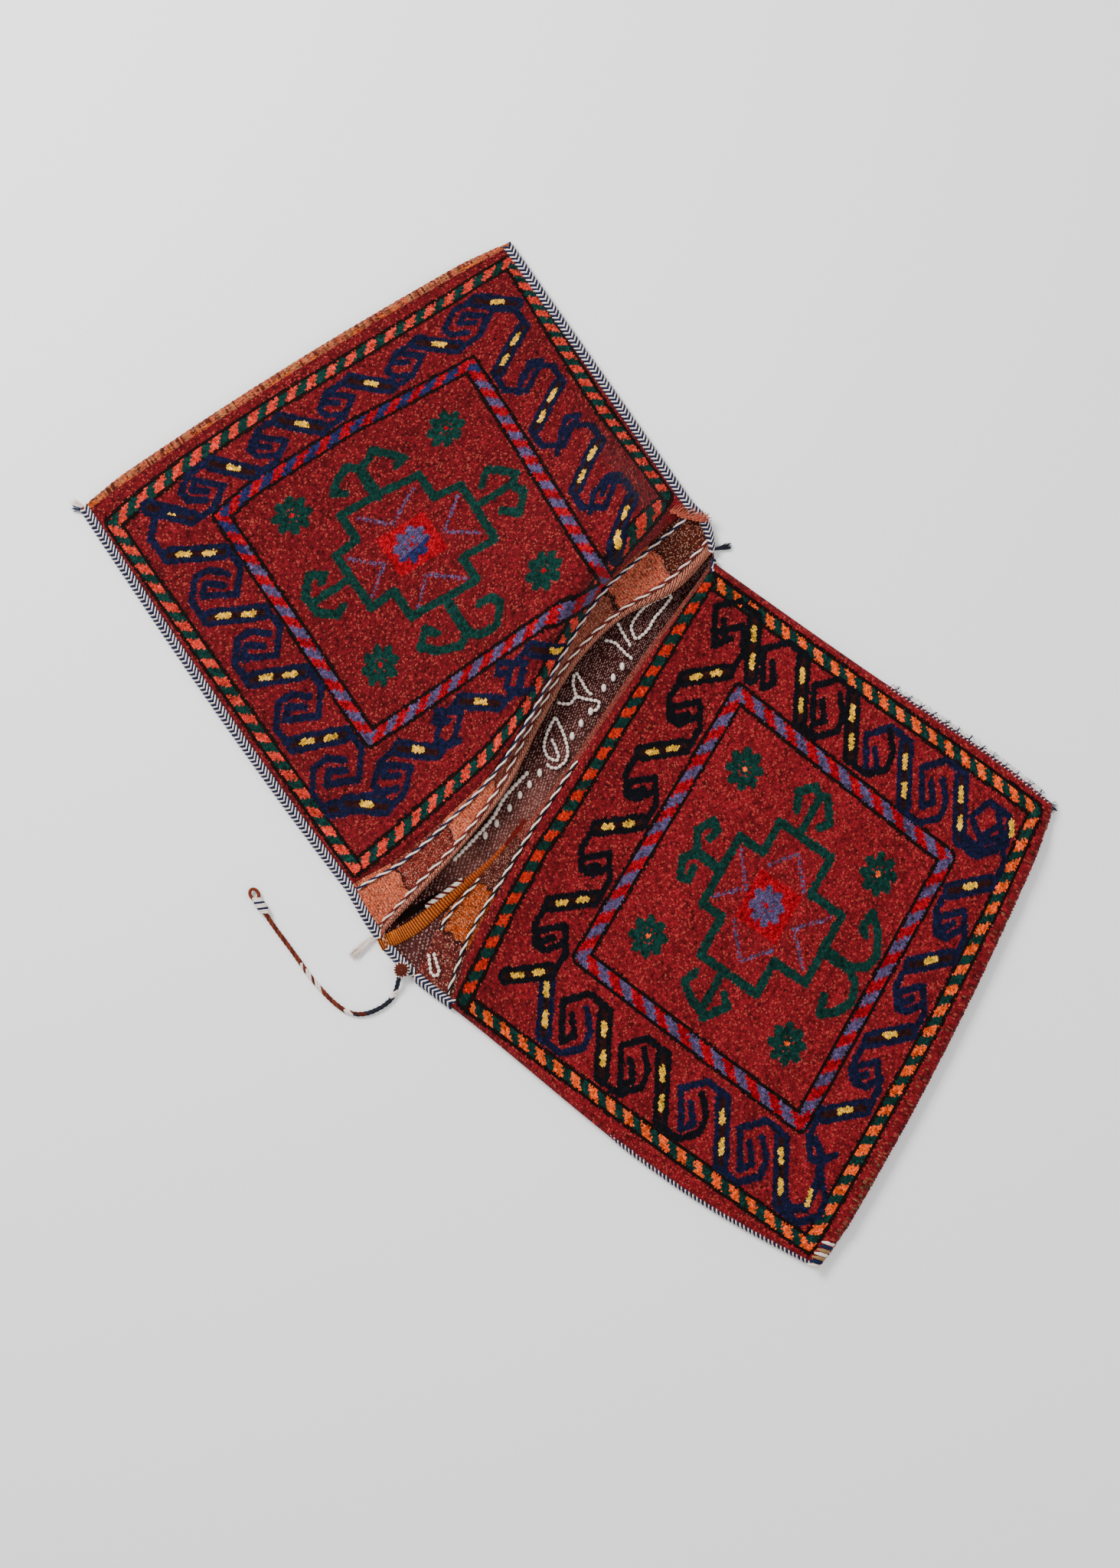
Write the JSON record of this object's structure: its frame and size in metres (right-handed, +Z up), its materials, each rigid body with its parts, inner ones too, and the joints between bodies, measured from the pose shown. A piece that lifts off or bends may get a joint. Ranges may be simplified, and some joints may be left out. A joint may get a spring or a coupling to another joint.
{
  "type": "saddle bag",
  "caption": "Double saddle bag folded from one woven cloth with knotted-pile pouch faces, flat-weave bridge, overcast sides, looped closure cords and a tie cord, lying flat and empty.",
  "frame": {"origin": "floor level, under the middle of the bag's outline seen from above, tie cord left out", "axes": "+X from pouch A through the bridge to pouch B, along the bag's length; +Y across the bag, from the selvedge with the tie cord to the other one; +Z up, out of the floor that the bag lies on"},
  "size_m": [1.1436, 0.7358, 0.0776],
  "materials": {
    "woven_strip": "brick-red knotted wool pile with a multicoloured design on the pouch faces, flat weave elsewhere",
    "twined_cord": "two-ply twined cord, white with navy or maroon",
    "binding": "navy and white overcast stitches",
    "closure_loop": "white chain-stitched cotton cord",
    "knot_pad": "brown-red wool knot",
    "tie_cord": "brown and cream braided cord",
    "white_yarn": "loose undyed yarn",
    "dark_yarn": "loose dark blue yarn"
  },
  "bodies": {
    "root": {"woven_strip": "woven_strip", "twined_cord_a_pile": "twined_cord", "twined_cord_a_hem": "twined_cord", "twined_cord_b_pile": "twined_cord", "twined_cord_b_hem": "twined_cord", "binding_a_left": "binding", "binding_a_right": "binding", "binding_b_left": "binding", "binding_b_right": "binding", "binding_bridge_left": "binding", "closure_loop_1": "closure_loop", "closure_loop_2": "closure_loop", "closure_loop_3": "closure_loop", "closure_loop_4": "closure_loop", "closure_loop_5": "closure_loop", "closure_loop_6": "closure_loop", "closure_loop_7": "closure_loop", "closure_loop_8": "closure_loop", "closure_loop_9": "closure_loop", "knot_pad": "knot_pad", "tie_cord": "tie_cord", "tie_cord_knot": "tie_cord", "white_yarn_tuft": "white_yarn", "dark_yarn_tuft": "dark_yarn"}
  },
  "joints": []
}
